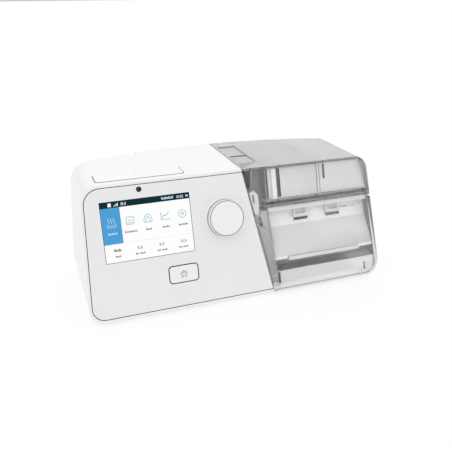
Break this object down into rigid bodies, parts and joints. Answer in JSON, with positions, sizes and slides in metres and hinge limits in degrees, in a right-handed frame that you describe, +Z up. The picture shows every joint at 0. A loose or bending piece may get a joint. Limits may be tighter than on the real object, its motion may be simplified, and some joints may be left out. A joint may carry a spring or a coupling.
{
  "type": "bedside positive pressure ventilator",
  "caption": "Bedside positive-pressure ventilator: white casing with colour display, turn-and-push knob and blower, and a clear heated humidifier tank that draws out of its dock.",
  "frame": {"origin": "middle of the underside of the outline, on the surface that the rubber feet stand on", "axes": "+X to the right along the width, seen from the front; +Y to the rear; +Z up; the display faces -Y"},
  "size_m": [0.2679, 0.146, 0.1102],
  "materials": {
    "white_casing": "satin",
    "panel_white": "satin",
    "button_white": "satin",
    "black_glass": "gloss",
    "display_panel": "satin",
    "black_plastic": "matte",
    "circuit_board": "satin",
    "inner_plastic": "matte",
    "copper_winding": "satin",
    "bright_steel": "satin",
    "plate_aluminium": "satin",
    "gray_rubber": "matte",
    "white_silicone": "satin",
    "dark_foam": "matte",
    "filter_felt": "matte",
    "clear_plastic": "gloss",
    "clear_clip": "gloss"
  },
  "bodies": {
    "casing": {"housing_shell": "white_casing", "base_plate": "white_casing", "front_panel": "panel_white", "display_window": "black_glass", "lcd_module": "display_panel", "light_sensor_lens": "black_glass", "knob_collar": "button_white", "encoder_body": "bright_steel", "main_board": "circuit_board", "board_components": "black_plastic", "home_switch": "black_plastic", "start_switch_board": "circuit_board", "speaker": "black_plastic", "blower_lower_case": "inner_plastic", "blower_upper_case": "inner_plastic", "motor_stator": "copper_winding", "motor_bearings": "bright_steel", "blower_mounts": "gray_rubber", "intake_muffler": "inner_plastic", "muffler_foam": "dark_foam", "air_filter": "filter_felt", "blower_duct": "inner_plastic", "return_duct": "inner_plastic", "flow_sensor": "black_plastic", "air_outlet": "white_casing", "inlet_gasket": "white_silicone", "outlet_gasket": "white_silicone", "heater_plate": "plate_aluminium", "heater_insulator": "gray_rubber", "dc_inlet": "black_plastic", "sd_socket": "bright_steel", "rubber_feet": "gray_rubber", "base_screws": "bright_steel", "board_screws": "bright_steel"},
    "knob_push": {"encoder_plunger": "black_plastic"},
    "knob": {"control_knob": "button_white", "encoder_shaft": "bright_steel"},
    "home_key": {"home_button": "button_white"},
    "start_key": {"start_button": "button_white"},
    "blower_rotor": {"impeller": "inner_plastic", "motor_rotor": "bright_steel"},
    "filter_cover": {"filter_door": "white_casing"},
    "memory_card": {"sd_card": "black_plastic"},
    "tank": {"tank_tub": "clear_plastic", "tank_heat_plate": "plate_aluminium", "lid_hinge_pin": "bright_steel"},
    "tank_lock": {"tank_lock_tongue": "clear_clip"},
    "lid": {"tank_lid": "clear_plastic", "lid_seal": "white_silicone", "lid_air_guide": "clear_plastic"},
    "clip_left": {"lid_clip_left": "clear_clip"},
    "clip_right": {"lid_clip_right": "clear_clip"}
  },
  "joints": [
    {"name": "knob_press", "type": "slide", "parent": "casing", "child": "knob_push", "axis": [0, 0.9603, -0.279], "range_m": [0, 0.0005], "stiffness_N_per_m": 1500, "springref_m": -0.0003},
    {"name": "knob_turn", "type": "hinge", "parent": "knob_push", "child": "knob", "pos_m": [-0.0135, -0.05277, 0.07262], "axis": [0, -0.9603, 0.279], "continuous": true},
    {"name": "home_press", "type": "slide", "parent": "casing", "child": "home_key", "axis": [0, 0.9603, -0.279], "range_m": [0, 0.0008], "stiffness_N_per_m": 900, "springref_m": -0.0003},
    {"name": "start_press", "type": "slide", "parent": "casing", "child": "start_key", "axis": [0, 0, -1], "range_m": [0, 0.0012], "stiffness_N_per_m": 900, "springref_m": -0.0004},
    {"name": "rotor_spin", "type": "hinge", "parent": "casing", "child": "blower_rotor", "pos_m": [-0.062, 0.005, 0.031], "axis": [0, 0, 1], "continuous": true},
    {"name": "filter_door_pull", "type": "slide", "parent": "casing", "child": "filter_cover", "axis": [0, 1, 0], "range_m": [0, 0.02]},
    {"name": "card_pull", "type": "slide", "parent": "casing", "child": "memory_card", "axis": [0, 1, 0], "range_m": [0, 0.026]},
    {"name": "tank_pull", "type": "slide", "parent": "casing", "child": "tank", "axis": [0, -1, 0], "range_m": [0, 0.145]},
    {"name": "lock_press", "type": "hinge", "parent": "tank", "child": "tank_lock", "pos_m": [0.0165, -0.0516, 0.0713], "axis": [-1, 0, 0], "range_deg": [0, 5], "stiffness_Nm_per_rad": 0.6, "springref_deg": -2.86},
    {"name": "lid_open", "type": "hinge", "parent": "tank", "child": "lid", "pos_m": [0.046, 0.0532, 0.0745], "axis": [-1, 0, 0], "range_deg": [0, 100]},
    {"name": "clip_left_release", "type": "hinge", "parent": "lid", "child": "clip_left", "pos_m": [0.0594, -0.04731, 0.0728], "axis": [-1, 0, 0], "range_deg": [0, 18], "stiffness_Nm_per_rad": 0.2, "springref_deg": -5.73},
    {"name": "clip_right_release", "type": "hinge", "parent": "lid", "child": "clip_right", "pos_m": [0.092, -0.04731, 0.0728], "axis": [-1, 0, 0], "range_deg": [0, 18], "stiffness_Nm_per_rad": 0.2, "springref_deg": -5.73}
  ]
}
